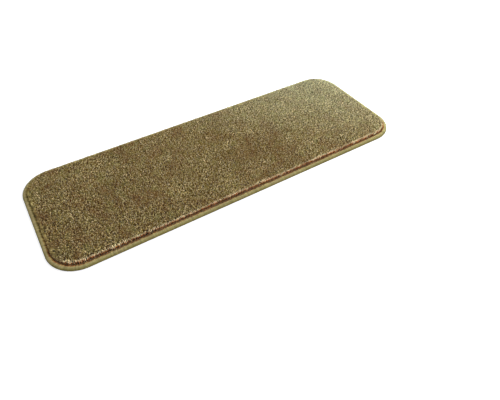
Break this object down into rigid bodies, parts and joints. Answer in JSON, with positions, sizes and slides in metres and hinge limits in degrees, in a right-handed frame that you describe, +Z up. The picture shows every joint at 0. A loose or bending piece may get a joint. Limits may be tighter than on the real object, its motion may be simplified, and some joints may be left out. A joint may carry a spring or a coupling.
{
  "type": "anti slip stair tread mat",
  "caption": "Rectangular cut-pile carpet mat with round corners, an overlocked edge and an anti-slip underside, laid flat on a stair tread.",
  "frame": {"origin": "centre of the underside, where the mat lies on the tread", "axes": "+X along the mat's length (along the stair), +Y across it towards the riser, +Z up out of the pile"},
  "size_m": [0.65, 0.235, 0.012],
  "materials": {
    "anti_slip_backing": "matte foamed coating with fine dimples",
    "backing_cloth": "plain woven cloth",
    "carpet_pile": "olive brown cut pile with a soft sheen",
    "overlock_edge": "close yarn turns with a soft sheen",
    "needle_thread": "pale twisted sewing thread"
  },
  "bodies": {
    "root": {"anti_slip_backing": "anti_slip_backing", "backing_cloth": "backing_cloth", "carpet_pile": "carpet_pile", "overlock_edge": "overlock_edge", "needle_thread": "needle_thread"}
  },
  "joints": []
}
